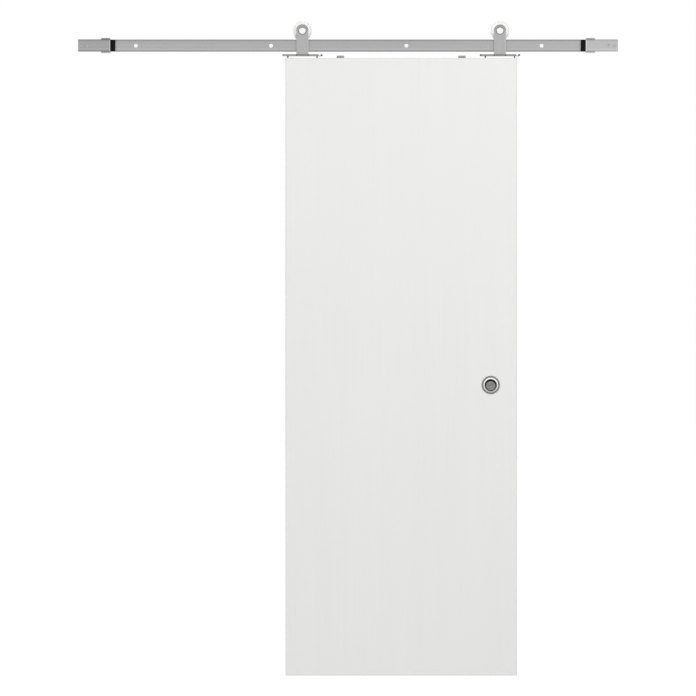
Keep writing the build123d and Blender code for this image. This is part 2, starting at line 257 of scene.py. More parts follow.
class Shader:
    """The nodes of one procedural material, or of a world."""

    def __init__(self, name, store="materials", surface="Principled BSDF"):
        self.material = getattr(bpy.data, store).new(name)
        self.material.use_nodes = True
        self.tree = self.material.node_tree
        self.surface = self.tree.nodes[surface]
        self.coordinates = self.node("TexCoord").outputs["Object"]

    def node(self, kind, settings=None, inputs=None):
        """Adds a node; settings come first, then the values or links of its sockets."""
        made = self.tree.nodes.new(f"ShaderNode{kind}")
        for key, value in (settings or {}).items():
            if key == "stops":
                self._set_stops(made.color_ramp, value)
            else:
                setattr(made, key, value)
        for key, value in (inputs or {}).items():
            self.put(made.inputs[key], value)
        return made

    def _set_stops(self, ramp, stops):
        """Places a ramp's two ends and sets their colours."""
        for element, (position, colour) in zip(ramp.elements, stops):
            element.position = position
            element.color = (*colour, 1)

    def put(self, socket, value):
        """Links a socket, or sets its own value."""
        if isinstance(value, Value):
            self.tree.links.new(value.socket, socket)
        elif isinstance(value, bpy.types.NodeSocket):
            self.tree.links.new(value, socket)
        elif socket.type == "RGBA" and len(value) == 3:
            socket.default_value = (*value, 1)
        else:
            socket.default_value = value

    def stretched(self, stretch):
        """Object coordinates, scaled along each axis."""
        mapping = self.node(
            "Mapping",
            {"vector_type": "TEXTURE"},
            {
                "Vector": self.coordinates,
                "Scale": tuple(1 / s for s in stretch),
            },
        )
        return mapping.outputs[0]

    def noise(self, stretch, scale=1.0, detail=3.0, rough=0.5):
        """A noise from 0 to 1, finer where stretch is larger."""
        made = self.node(
            "TexNoise",
            {},
            {
                "Vector": self.stretched(stretch),
                "Scale": scale,
                "Detail": detail,
                "Roughness": rough,
            },
        )
        return Value(self, made.outputs["Fac"])

    def limits(self, value, low, high, to_low=0.0, to_high=1.0):
        """The value carried from one range to another, and held inside it."""
        made = self.node(
            "MapRange",
            {"clamp": True},
            {
                "Value": value,
                "From Min": low,
                "From Max": high,
                "To Min": to_low,
                "To Max": to_high,
            },
        )
        return Value(self, made.outputs["Result"])

    def mix(self, factor, first, second):
        """A colour between two colours."""
        made = self.node("Mix", {"data_type": "RGBA"}, {})
        self.put(made.inputs["Factor"], factor)
        self.put(made.inputs[6], first)
        self.put(made.inputs[7], second)
        return made.outputs[2]

    def bump(self, height, strength, distance):
        """Raises and sinks the surface's shading by a height from 0 to 1."""
        made = self.node(
            "Bump",
            {},
            {"Height": height, "Strength": strength, "Distance": distance},
        )
        self.put(self.surface.inputs["Normal"], made.outputs[0])

    def axis(self, letter):
        """The object coordinate along one axis, in metres."""
        made = self.node("SeparateXYZ", {}, {"Vector": self.coordinates})
        return Value(self, made.outputs[letter])

    def around(self, centre):
        """Distance from a line along Y, and height over it, in metres."""
        offset = self.node(
            "VectorMath", {"operation": "SUBTRACT"}, {0: self.coordinates, 1: tuple(centre)}
        )
        parts = self.node("SeparateXYZ", {}, {"Vector": offset.outputs[0]})
        across = Value(self, parts.outputs["X"])
        height = Value(self, parts.outputs["Z"])
        return (across * across + height * height) ** 0.5, across, height

    def set(self, **values):
        """Sets sockets of the surface shader; an underscore stands for a space."""
        for key, value in values.items():
            name = key.replace("_", " ").title().replace("Ior", "IOR")
            self.put(self.surface.inputs[name], value)
        return self


def shade(colour, factor):
    """A colour made darker or lighter."""
    return tuple(min(channel * factor, 1.0) for channel in colour)


# ------------------------------------------------------------------ materials

GRAIN = {
    "X": (2.5, 900.0, 900.0),
    "Z": (900.0, 900.0, 2.5),
}


def brushed_lines(shader, direction, share=0.5):
    """Fine and broad brush lines along one axis, from 0 to 1."""
    fine = shader.noise(GRAIN[direction], 1.0, 4.0, 0.65)
    broad = shader.noise(tuple(s / 10 for s in GRAIN[direction]), 1.0, 2.0)
    return shader.limits(fine * share + broad * (1 - share), 0.32, 0.68)


def flat_bar_steel(name, colour, low, high, claw=None, edge_shade=1.0):
    """Brushed flat bar, lighter towards its right end by painted light, with painted shade along
    both edges and a painted highlight low down, standing in for reflections on rounded edges.
    A stop also has a painted highlight on its claw's inner corner, lower lips made lighter than
    upper ones by painted light, and painted shade where the claw's lips meet the arm."""
    shader = Shader(name)
    lines = brushed_lines(shader, "X")
    tone = shader.mix(lines, shade(colour, 0.94), shade(colour, 1.06))
    # painted light: the bar grows lighter towards its right end
    along = shader.limits(shader.axis("X"), 0.2 * start_hi.x, start_hi.x)
    tone = shader.mix(along, tone, shade(colour, 1.10))
    height = shader.axis("Z")
    # painted highlight low down, standing in for the reflection on the bar's rounded lower edge
    light_line = shader.limits(height, low + 11 * MM, low + 7.5 * MM)
    tone = shader.mix(light_line * 0.9, tone, shade(colour, 1.28))
    # painted shade along the lower and upper edges and a dark top line, standing in for reflections
    # on the bar's rounded edges; a stop scales it per side
    lower_edge = shader.limits(height, low + 7.0 * MM, low + 5.5 * MM)
    tone = shader.mix(lower_edge * (0.85 * edge_shade), tone, shade(colour, 0.74))
    upper_edge = shader.limits(height, high - 7.5 * MM, high - 5.0 * MM)
    tone = shader.mix(upper_edge * (0.5 * edge_shade), tone, shade(colour, 0.70))
    top_line = shader.limits(height, high - 3.2 * MM, high - 1.6 * MM)
    tone = shader.mix(top_line * (0.8 * edge_shade), tone, shade(colour, 0.50))
    if claw is not None:
        inset = abs(shader.axis("X") - claw)
        # painted highlight along the claw's inner corner
        corner = shader.limits(inset, 3.4 * MM, 2.2 * MM)
        tone = shader.mix(corner * 0.7, tone, shade(colour, 1.65))
        past = abs(height - (low + high) / 2) - (high - low) / 2
        lips = shader.limits(past, 0.4 * MM, 1.2 * MM)
        # painted light: the lower lip is made lighter than the upper one
        lower = shader.limits(height, low + 1 * MM, low - 1 * MM)
        tone = shader.mix(lips, tone, shader.mix(lower, shade(colour, 0.92), shade(colour, 1.25)))
        # painted shade along the arm's edges where the claw's lips meet it
        line = shader.limits(past, -2.6 * MM, -1.4 * MM) * (1 - lips)
        beside = shader.limits(inset, CLAW_LENGTH + 1 * MM, CLAW_LENGTH - 1 * MM)
        tone = shader.mix(line * beside * 0.6, tone, shade(colour, 0.45))
    shader.set(base_color=tone, metallic=1.0)
    shader.set(roughness=shader.limits(lines, 0.0, 1.0, 0.26, 0.36))
    shader.bump(lines, 0.10, 0.06 * MM)
    return shader.material


def strap_steel(name, colour, axle, radius):
    """Upright brushed strap with painted shade round the top of its head's rim, a painted shadow
    round the bolt head and a painted highlight along one edge.
    """
    shader = Shader(name)
    lines = brushed_lines(shader, "Z")
    distance, across, height = shader.around(axle)
    tone = shader.mix(lines, shade(colour, 0.95), shade(colour, 1.05))
    over = shader.limits(height, -4 * MM, 6 * MM)
    # painted shade round the top of the head's rim
    rim = shader.limits(distance, radius - 4.5 * MM, radius - 1.5 * MM) * over
    tone = shader.mix(rim * 0.8, tone, shade(colour, 0.55))
    # painted shadow round the axle bolt's head
    head_shadow = shader.limits(distance, 15.5 * MM, 12.5 * MM)
    tone = shader.mix(head_shadow * 0.8, tone, shade(colour, 0.50))
    # painted highlight along the strap's right edge below the head
    side = shader.limits(across, radius - 3.2 * MM, radius - 1.8 * MM) * (1 - over)
    tone = shader.mix(side * 0.6, tone, shade(colour, 1.35))
    shader.set(base_color=tone, metallic=1.0)
    shader.set(roughness=shader.limits(lines, 0.0, 1.0, 0.28, 0.40))
    shader.bump(lines, 0.12, 0.06 * MM)
    return shader.material


def plate_steel(name, colour, middle_x, front, reach, left_end):
    """Brushed plate, darker under the strap near the front and darkest beside the strap's corners,
    and darker at its right end, and at its left end by left_end, from 0 to 1."""
    shader = Shader(name)
    lines = brushed_lines(shader, "X")
    shift = shader.axis("X") - middle_x
    gap = abs(shift)
    tone = shader.mix(lines, shade(colour, 0.92), shade(colour, 1.08))
    near = shader.limits(shader.axis("Y"), front + 9 * MM, front + 4 * MM)
    # darker under the strap near the front, darkest beside the strap's corners
    under = shader.limits(gap, 22 * MM, 20 * MM) * near
    tone = shader.mix(under * 0.5, tone, shade(colour, 0.60))
    corner_darkening = under * shader.limits(gap, 16 * MM, 18 * MM)
    tone = shader.mix(corner_darkening * 0.8, tone, shade(colour, 0.35))
    # darker at the right end, and at the left end by left_end
    end_darkening = shader.limits(shift, reach - 7.5 * MM, reach - 5.5 * MM)
    end_darkening = end_darkening + shader.limits(shift, 5.5 * MM - reach, 3.5 * MM - reach) * left_end
    tone = shader.mix(end_darkening * (0.25 + 0.55 * near), tone, shade(colour, 0.28))
    shader.set(base_color=tone, metallic=1.0)
    shader.set(roughness=shader.limits(lines + corner_darkening, 0.0, 2.0, 0.30, 0.48))
    shader.bump(lines, 0.12, 0.06 * MM)
    return shader.material


def turned_lines(shader, centre, rings):
    """Lathe rings round a line along Y, from 0 to 1, the distance from it and the height over it."""
    distance, across, height = shader.around(centre)
    joined = shader.node(
        "CombineXYZ", {}, {"X": distance * rings, "Y": across * 12, "Z": height * 12}
    )
    cut = shader.node("TexNoise", {}, {"Vector": joined.outputs[0], "Scale": 1.0, "Detail": 4.0})
    return shader.limits(Value(shader, cut.outputs["Fac"]), 0.30, 0.70), distance, height


def turned_steel(name, colour, centre, rings=1500.0):
    """Metal turned on a lathe, with so many rings in a metre."""
    shader = Shader(name)
    lines, _, _ = turned_lines(shader, centre, rings)
    tone = shader.mix(lines, shade(colour, 0.86), shade(colour, 1.14))
    shader.set(base_color=tone, metallic=1.0)
    shader.set(roughness=shader.limits(lines, 0.0, 1.0, 0.21, 0.35))
    shader.bump(lines, 0.10, 0.04 * MM)
    return shader.material


def pull_steel(name, colour, centre):
    """A turned pull: dark rim, a polished bevel brightened by a painted reflection that is lighter
    towards the top, and a recess with a painted shadow under its lip.
    """
    shader = Shader(name)
    lines, distance, height = turned_lines(shader, centre, 1500.0)
    tone = shader.mix(lines, shade(colour, 0.84), shade(colour, 1.16))
    # painted reflection on the polished bevel: grey at the bottom, near white at the top
    bevel = shader.limits(distance, 24.8 * MM, 23.9 * MM)
    bevel_light = shader.limits(height, -26 * MM, 20 * MM) * (0.7 + 0.3 * lines)
    tone = shader.mix(bevel, tone, shader.mix(bevel_light, (0.50, 0.50, 0.51), (0.97, 0.97, 0.97)))
    # painted shadow on the recess wall: black at the top, lighter towards the bottom
    mouth = shader.limits(distance, PULL_MOUTH, PULL_MOUTH - 0.6 * MM)
    wall_shadow = shader.limits(height, -9 * MM, 5 * MM)
    wall = shader.mix(wall_shadow, shade(colour, 0.45), (0.004, 0.004, 0.004))
    tone = shader.mix(mouth, tone, wall)
    # the floor's circle sits 2.4 mm low, so the painted shadow crescent is wider at the top
    floor_distance, _, _ = shader.around(centre - Vector((0, 0, 2.4 * MM)))
    floor = shader.limits(floor_distance, 16.0 * MM, 14.8 * MM)
    grit = shader.limits(shader.noise((260.0, 260.0, 260.0), 1.0, 4.0), 0.35, 0.65)
    tone = shader.mix(floor, tone, shader.mix(grit, shade(colour, 0.85), shade(colour, 1.35)))
    shader.set(base_color=tone, metallic=1.0)
    shader.set(roughness=shader.limits(lines, 0.0, 1.0, 0.26, 0.40))
    shader.bump(lines, 0.10, 0.04 * MM)
    return shader.material


def polished_steel(name, colour):
    """Near mirror steel with hairline wear."""
    shader = Shader(name)
    wear = shader.noise((60.0, 60.0, 60.0), 1.0, 5.0, 0.6)
    hair = shader.noise((1800.0, 1800.0, 160.0), 1.0, 3.0)
    dulled = shader.limits(wear, 0.45, 0.70)
    shader.set(base_color=shader.mix(dulled * 0.5, colour, shade(colour, 0.93)), metallic=1.0)
    shader.set(roughness=shader.limits(dulled + hair * 0.3, 0.0, 1.3, 0.07, 0.22))
    shader.bump(hair, 0.03, 0.02 * MM)
    return shader.material


def sunk_screw_steel(name, colour, face):
    """Bright screw head, with painted shade in its socket and down its sides."""
    shader = Shader(name)
    wear = shader.limits(shader.noise((60.0, 60.0, 60.0), 1.0, 5.0, 0.6), 0.35, 0.70)
    # painted shade fading in from 1.2 to 2 mm behind the head's face
    sunk_shade = shader.limits(shader.axis("Y"), face + 1.2 * MM, face + 2.0 * MM)
    tone = shader.mix(wear * 0.5, colour, shade(colour, 0.85))
    tone = shader.mix(sunk_shade * 0.85, tone, (0.010, 0.010, 0.011))
    shader.set(base_color=tone, metallic=1.0)
    shader.set(roughness=shader.limits(wear + sunk_shade * 3, 0.0, 4.0, 0.14, 0.60))
    return shader.material


def plated_steel(name, colour):
    """Zinc plate: cloudy, faintly crystalline."""
    shader = Shader(name)
    cells = shader.node(
        "TexVoronoi", {}, {"Vector": shader.stretched((420.0, 420.0, 420.0)), "Scale": 1.0}
    )
    crystal = shader.limits(Value(shader, cells.outputs["Distance"]), 0.1, 0.8)
    cloud = shader.limits(shader.noise((120.0, 120.0, 120.0), 1.0, 4.0), 0.35, 0.65)
    tone = shader.mix(crystal * 0.5 + cloud * 0.5, shade(colour, 0.84), shade(colour, 1.14))
    shader.set(base_color=tone, metallic=1.0)
    shader.set(roughness=shader.limits(cloud, 0.0, 1.0, 0.30, 0.46))
    shader.bump(crystal, 0.05, 0.05 * MM)
    return shader.material


def moulded_nylon(name, colour):
    """White nylon: fine mould texture, light scuffs from running."""
    shader = Shader(name)
    grain = shader.noise((1500.0, 1500.0, 1500.0), 1.0, 3.0)
    scuff = shader.limits(shader.noise((45.0, 260.0, 45.0), 1.0, 5.0, 0.6), 0.56, 0.74)
    tone = shader.mix(scuff * 0.35, colour, shade(colour, 0.82))
    shader.set(base_color=tone)
    shader.set(roughness=shader.limits(grain + scuff * 0.4, 0.2, 1.2, 0.34, 0.52))
    shader.set(ior=1.53, subsurface_weight=0.08)
    shader.surface.inputs["Subsurface Radius"].default_value = (1.0, 0.95, 0.9)
    shader.surface.inputs["Subsurface Scale"].default_value = 1.5 * MM
    shader.bump(grain, 0.10, 0.03 * MM)
    return shader.material


def moulded_rubber(name, colour):
    """Black rubber: pebbled skin with a dusty bloom."""
    shader = Shader(name)
    pebble = shader.noise((2200.0, 2200.0, 2200.0), 1.0, 3.0)
    bloom = shader.limits(shader.noise((70.0, 70.0, 70.0), 1.0, 4.0), 0.50, 0.75)
    shader.set(base_color=shader.mix(bloom * 0.25, colour, (0.016, 0.016, 0.017)))
    shader.set(roughness=shader.limits(pebble, 0.3, 0.7, 0.66, 0.84))
    shader.set(specular_ior_level=0.06)
    shader.bump(pebble, 0.25, 0.08 * MM)
    return shader.material


def satin_paint(name, colour, low, high):
    """White satin paint on board: a faint upright grain, orange peel, soft scuffs, and painted shade
    along the rims.
    """
    shader = Shader(name)
    grain = shader.noise((170.0, 170.0, 2.2), 1.0, 5.0, 0.62)
    figure = shader.noise((16.0, 16.0, 0.7), 1.0, 4.0, 0.55)
    peel = shader.noise((900.0, 900.0, 900.0), 1.0, 2.0)
    cloud = shader.noise((3.0, 3.0, 1.6), 1.0, 2.0)
    lines = shader.limits(grain * 0.6 + figure * 0.4, 0.34, 0.66)
    tone = shader.mix(lines, shade(colour, 0.978), shade(colour, 1.018))
    tone = shader.mix(shader.limits(cloud, 0.35, 0.65) * 0.5, tone, shade(colour, 0.985))
    across, height = shader.axis("X"), shader.axis("Z")
    # painted shade 3 to 5 mm in from each edge of the leaf
    for place, start, step in (
        (across, low.x, 1),
        (across, high.x, -1),
        (height, low.z, 1),
        (height, high.z, -1),
    ):
        rim = shader.limits(place, start + 5 * MM * step, start + 3 * MM * step)
        tone = shader.mix(rim * 0.7, tone, shade(colour, 0.93))
    shader.set(base_color=tone)
    shader.set(roughness=shader.limits(lines + peel * 0.4, 0.0, 1.4, 0.40, 0.52))
    shader.bump(lines * 0.7 + peel * 0.3, 0.14, 0.10 * MM)
    return shader.material


def planed_wood(name, colour, along):
    """Planed softwood, grain along one axis."""
    shader = Shader(name)
    across = {"X": (3.0, 60.0, 60.0), "Z": (60.0, 60.0, 3.0)}[along]
    bend = shader.noise(tuple(s * 0.2 for s in across), 1.0, 3.0)
    rings = shader.node(
        "TexWave",
        {"wave_type": "BANDS", "bands_direction": "Y"},
        {
            "Vector": shader.stretched(across),
            "Scale": 1.4,
            "Distortion": 5.0,
            "Detail": 3.0,
        },
    )
    lines = Value(shader, rings.outputs["Fac"]) * 0.7 + bend * 0.3
    tone = shader.mix(lines, shade(colour, 0.72), shade(colour, 1.12))
    shader.set(base_color=tone)
    shader.set(roughness=shader.limits(lines, 0.0, 1.0, 0.62, 0.80))
    shader.bump(lines, 0.15, 0.10 * MM)
    return shader.material


def pressed_board(name, colour):
    """Chipboard: flakes pressed flat."""
    shader = Shader(name)
    flakes = shader.node(
        "TexVoronoi",
        {"feature": "F1"},
        {"Vector": shader.stretched((160.0, 320.0, 90.0)), "Scale": 1.0, "Randomness": 1.0},
    )
    flake = shader.limits(Value(shader, flakes.outputs["Distance"]), 0.05, 0.75)
    tone = shader.mix(flake, shade(colour, 1.15), shade(colour, 0.60))
    shader.set(base_color=tone, roughness=0.85)
    shader.bump(flake, 0.2, 0.15 * MM)
    return shader.material


def floor_paint():
    """A plain pale floor."""
    shader = Shader("pale_floor")
    cloud = shader.limits(shader.noise((0.6, 0.6, 0.6), 1.0, 2.0), 0.3, 0.7)
    shader.set(base_color=shader.mix(cloud, (0.34, 0.34, 0.34), (0.36, 0.36, 0.36)))
    shader.set(roughness=0.9, specular_ior_level=0.0)
    shader.set(emission_color=(1, 1, 1), emission_strength=0.86)
    return shader.material


# ------------------------------------------------------------------ mesh helpers


def merge(target, part):
    """Moves a finished bmesh into another."""
    mesh = bpy.data.meshes.new("part")
    part.to_mesh(mesh)
    part.free()
    target.from_mesh(mesh)
    bpy.data.meshes.remove(mesh)


def moved(part, matrix):
    """The bmesh after a transform of all its vertices."""
    bmesh.ops.transform(part, matrix=matrix, verts=part.verts)
    return part


def close_up(part, outward=True):
    """Welds doubles and points the faces outwards."""
    bmesh.ops.remove_doubles(part, verts=part.verts, dist=0.002 * MM)
    if outward:
        bmesh.ops.recalc_face_normals(part, faces=part.faces)
    return part


def chain(part, points, closed=False):
    """A row of vertices joined by edges."""
    made = [part.verts.new(p) for p in points]
    pairs = list(zip(made, made[1:]))
    if closed:
        pairs.append((made[-1], made[0]))
    for pair in pairs:
        part.edges.new(pair)
    return made


def round_off(part, geometry, radius, segments=3, affect="EDGES"):
    """Rounds the edges of a solid, or the corners of a wire outline."""
    bmesh.ops.bevel(
        part,
        geom=geometry,
        offset=radius,
        offset_type="OFFSET",
        segments=segments,
        profile=0.5,
        affect=affect,
        clamp_overlap=True,
        material=-1,
    )


def edges_at(part, axis, place):
    """The edges whose two ends lie at one place along an axis."""
    return [e for e in part.edges if all(abs(getattr(v.co, axis) - place) < 1e-6 for v in e.verts)]


def raise_faces(part, height):
    """Extrudes all the faces in the XY plane along +Z."""
    raised = bmesh.ops.extrude_face_region(part, geom=list(part.faces))["geom"]
    top = [g for g in raised if isinstance(g, bmesh.types.BMVert)]
    bmesh.ops.translate(part, vec=(0, 0, height), verts=top)


def spin_round(part, steps):
    """Spins an outline once round the Y axis."""
    bmesh.ops.spin(
        part,
        geom=list(part.verts) + list(part.edges),
        cent=(0, 0, 0),
        axis=(0, 1, 0),
        angle=FULL_TURN,
        steps=steps,
        use_merge=True,
    )


def block(low, high):
    """A box between two corners."""
    part = bmesh.new()
    bmesh.ops.create_cube(part, size=1.0)
    bmesh.ops.scale(part, vec=high - low, verts=part.verts)
    bmesh.ops.translate(part, vec=(low + high) / 2, verts=part.verts)
    return part


def turned(profile, corner=0.0, segments=3, closed=False, steps=None):
    """A lathe piece round the Y axis, from (radius, distance along Y) points."""
    part = bmesh.new()
    verts = chain(part, [(r, y, 0) for r, y in profile], closed)
    if corner:
        inside = [v for v in verts if len(v.link_edges) == 2 and v.co.x > 1e-6]
        round_off(part, inside, corner, segments, "VERTICES")
    spin_round(part, steps or sizes().turn_steps)
    return close_up(part)


def socketed(profile, soft, radius, across, sink):
    """A screw's head on the Y axis, facing -Y: a turned profile from its seat to the rim of a
    hexagon socket. The profile's soft corners are rounded."""
    part = bmesh.new()
    corner = across / 2 / HALF_FLAT
    face = profile[-1][1]
    verts = chain(part, [(r, y, 0) for r, y in profile] + [(corner * 1.12, face, 0)])
    if radius:
        round_off(part, [verts[n] for n in soft], radius, 5, "VERTICES")
    spin_round(part, 72)
    close_up(part, False)
    mouth = [e for e in edges_at(part, "y", face) if e.is_boundary]
    hexagon = bmesh.ops.create_circle(part, cap_ends=False, radius=corner, segments=6)["verts"]
    turn = Matrix.Translation((0, face + 0.1 * MM, 0)) @ Matrix.Rotation(math.radians(90), 4, "X")
    bmesh.ops.transform(part, matrix=turn, verts=hexagon)
    hexagon_edges = list({e for v in hexagon for e in v.link_edges})
    bmesh.ops.bridge_loops(part, edges=mouth + hexagon_edges)
    sunk = bmesh.ops.extrude_edge_only(part, edges=hexagon_edges)["geom"]
    floor = [g for g in sunk if isinstance(g, bmesh.types.BMVert)]
    bmesh.ops.translate(part, vec=(0, sink, 0), verts=floor)
    bmesh.ops.contextual_create(part, geom=floor)
    return close_up(part)


def button_head(radius, height, across, shank):
    """A low head with a broad flat face and a rounded rim; its seat is at Y = 0."""
    profile = [(shank, 0), (radius, 0), (radius, -height)]
    return socketed(profile, [2], height * 0.34, across, height * 0.35)


def countersunk_head(radius, height, across, shank):
    """A flat head with a cone under it; its face is at Y = 0."""
    profile = [(shank, height), (radius, 0.25 * MM), (radius, 0)]
    return socketed(profile, [], 0, across, height * 0.6)


def thread(root, crest, pitch, length, steps=40):
    """A threaded bar round the Y axis from Y = 0, cut flat at both ends."""
    part = bmesh.new()
    turns = math.ceil(length / pitch) + 2
    chain(
        part,
        [
            (root, 0, 0),
            (crest, pitch * 0.40, 0),
            (crest, pitch * 0.52, 0),
            (root, pitch * 0.92, 0),
            (root, pitch, 0),
        ],
    )
    bmesh.ops.spin(
        part,
        geom=list(part.verts) + list(part.edges),
        cent=(0, 0, 0),
        axis=(0, 1, 0),
        dvec=(0, pitch / steps, 0),
        angle=FULL_TURN * turns,
        steps=steps * turns,
        use_merge=False,
    )
    close_up(part, False)
    bmesh.ops.translate(part, vec=(0, -1.5 * pitch, 0), verts=part.verts)
    for place, outward in ((0.0, -1), (length, 1)):
        bmesh.ops.bisect_plane(
            part,
            geom=list(part.verts) + list(part.edges) + list(part.faces),
            plane_co=(0, place, 0),
            plane_no=(0, outward, 0),
            clear_outer=True,
        )
        rim = [e for e in edges_at(part, "y", place) if e.is_boundary]
        bmesh.ops.holes_fill(part, edges=rim, sides=0)
    return close_up(part)


def hex_nut(across, height, bore):
    """A chamfered hexagon nut round the Y axis from Y = 0 to its height."""
    part = bmesh.new()
    corner = across / 2 / HALF_FLAT
    bmesh.ops.create_circle(part, cap_ends=False, radius=corner, segments=6)
    bmesh.ops.subdivide_edges(part, edges=list(part.edges), cuts=9)
    bmesh.ops.create_circle(part, cap_ends=False, radius=bore, segments=60)
    bmesh.ops.bridge_loops(part, edges=list(part.edges))
    raise_faces(part, height)
    slope = math.tan(math.radians(30))
    chamfer_start = across / 2 * 0.97
    for vert in part.verts:
        beyond = math.hypot(vert.co.x, vert.co.y) - chamfer_start
        if beyond > 0:
            vert.co.z += beyond * slope * (1 if vert.co.z < height / 2 else -1)
    moved(part, Matrix.Rotation(math.radians(-90), 4, "X"))
    return close_up(part)


def outline(part, corners, radius=0.0, segments=5):
    """A closed outline in the XY plane, its corners rounded."""
    verts = chain(part, [(x, y, 0) for x, y in corners], closed=True)
    if radius:
        round_off(part, verts, radius, segments, "VERTICES")


def corners(x_span, y_span):
    """A rectangle's corners, in order."""
    (left, right), (near, far) = x_span, y_span
    return [(left, near), (right, near), (right, far), (left, far)]


def hole(part, x, y, radius, steps=64):
    """A round hole's edge in the XY plane."""
    made = bmesh.ops.create_circle(part, cap_ends=False, radius=radius, segments=steps)["verts"]
    bmesh.ops.translate(part, vec=(x, y, 0), verts=made)


def slab(part, thickness, edge_radius, segments=3):
    """Fills the outlines in the XY plane, thickens them along +Z and rounds the outer edges."""
    bmesh.ops.triangle_fill(part, use_beauty=True, use_dissolve=False, edges=list(part.edges))
    bmesh.ops.dissolve_limit(
        part,
        angle_limit=math.radians(1),
        verts=part.verts,
        edges=part.edges,
        use_dissolve_boundaries=False,
    )
    raise_faces(part, thickness)
    bmesh.ops.recalc_face_normals(part, faces=part.faces)
    level = [e for e in part.edges if abs(e.verts[0].co.z - e.verts[1].co.z) < 1e-9]
    rims = [e for e in level if len(e.link_faces) == 2 and e.calc_face_angle(0) > math.radians(60)]
    if edge_radius:
        round_off(part, rims, edge_radius, segments)
    return close_up(part)


def to_object(part, name, body, material, stands_for=(), sharp=35):
    """Turns a bmesh into a piece that rides on a body."""
    mesh = bpy.data.meshes.new(name)
    part.to_mesh(mesh)
    part.free()
    mesh.shade_smooth()
    mesh.set_sharp_from_angle(angle=math.radians(sharp))
    mesh.materials.append(material)
    piece = bpy.data.objects.new(name, mesh)
    bpy.context.scene.collection.objects.link(piece)
    even = piece.modifiers.new("even_shading", "WEIGHTED_NORMAL")
    even.keep_sharp = True
    even.weight = 90
    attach(piece, body)
    if stands_for:
        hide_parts(*stands_for)
    return piece


def finish_node(node, material):
    """Gives a frame node that stays in sight its finish."""
    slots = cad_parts[node].data.materials
    slots.clear()
    slots.append(material)


def middle(node):
    """The middle of a node's box."""
    low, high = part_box(node)
    return (low + high) / 2


def at(x, y, z):
    """The transform that carries a piece's own origin to a place."""
    return Matrix.Translation((x, y, z))


def row(node, count):
    """The middles of like solids spread evenly along X in one node, and their radius."""
    low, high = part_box(node)
    radius = (high.z - low.z) / 2
    first, last = low.x + radius, high.x - radius
    return [first + (last - first) * n / (count - 1) for n in range(count)], radius


# ------------------------------------------------------------------ operators


class SLIDINGDOOR_OT_stage(Operator):
    """Make the camera, the floor, the sky and the lights"""

    bl_idname = "sliding_door.stage"
    bl_label = "Stage"

    def execute(self, context):
        scene = context.scene
        stage = scene.door_stage
        centre = (start_lo + start_hi) / 2
        leaf_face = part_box("leaf_front_skin")[0].y
        lens = bpy.data.cameras.new("camera")
        lens.sensor_width = 36.0
        lens.lens = lens.sensor_width * stage.distance / stage.framed_height
        lens.clip_end = 300.0
        camera = bpy.data.objects.new("camera", lens)
        scene.collection.objects.link(camera)
        camera.location = (centre.x, leaf_face - stage.distance, centre.z)
        camera.rotation_euler = (math.radians(90), 0, 0)
        scene.camera = camera
        self.floor(scene, stage)
        self.sky(scene)
        for name, place, size, power, rise in LAMPS:
            self.lamp(scene, name, place, size, power, centre + Vector((0, 0, rise)))
        scene.view_settings.view_transform = "Standard"
        return {"FINISHED"}

    def floor(self, scene, stage):
        """A wide pale floor under the leaf."""
        part = bmesh.new()
        bmesh.ops.create_grid(part, x_segments=8, y_segments=8, size=60.0)
        bmesh.ops.translate(part, vec=(0, 0, start_lo.z - stage.floor_drop), verts=part.verts)
        mesh = bpy.data.meshes.new("floor")
        part.to_mesh(mesh)
        part.free()
        mesh.materials.append(floor_paint())
        floor = bpy.data.objects.new("floor", mesh)
        scene.collection.objects.link(floor)

    def sky(self, scene):
        """A white room that is darker straight overhead, so that round edges read."""
        room = Shader("white_room", "worlds", "Background")
        direction = room.node("TexCoord").outputs["Generated"]
        height = room.node("SeparateXYZ", {}, {"Vector": direction}).outputs["Z"]
        stops = [(0.42, (1, 1, 1)), (0.85, (0.30, 0.30, 0.31))]
        tone = room.node("ValToRGB", {"stops": stops}, {"Fac": height})
        room.set(color=tone.outputs["Color"], strength=1.0)
        scene.world = room.material

    def lamp(self, scene, name, place, size, power, target):
        """A soft square light."""
        light = bpy.data.lights.new(name, "AREA")
        light.shape = "SQUARE"
        light.size = size
        light.energy = power
        lamp = bpy.data.objects.new(name, light)
        scene.collection.objects.link(lamp)
        lamp.location = place
        aim = target - Vector(place)
        lamp.rotation_euler = aim.to_track_quat("-Z", "Y").to_euler()
        lamp.visible_glossy = False
        lamp.visible_camera = False


